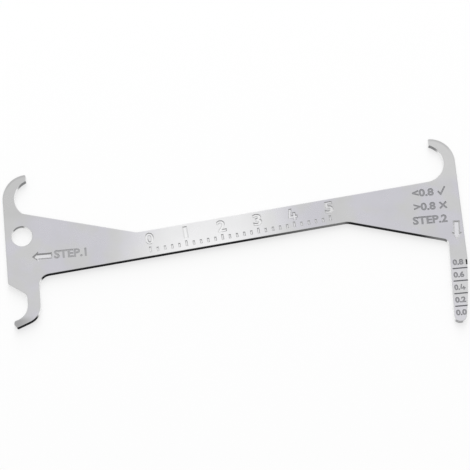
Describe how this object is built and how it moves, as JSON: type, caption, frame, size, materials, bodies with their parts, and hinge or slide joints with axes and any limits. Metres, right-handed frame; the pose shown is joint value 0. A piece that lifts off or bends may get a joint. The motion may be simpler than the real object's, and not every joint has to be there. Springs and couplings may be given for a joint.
{
  "type": "chain wear gauge",
  "caption": "Flat steel gauge for bicycle chain wear: a bar with hooks at both ends, a roller seat hook and a graduated measuring prong.",
  "frame": {"origin": "middle of the plate's box, on its back face", "axes": "+X along the plate towards the measuring prong, +Y towards the upper hooks, +Z out of the marked front face"},
  "size_m": [0.1256, 0.0528, 0.002],
  "materials": {
    "plate_steel": "satin, tumbled edges"
  },
  "bodies": {
    "root": {"gauge_plate": "plate_steel"}
  },
  "joints": []
}
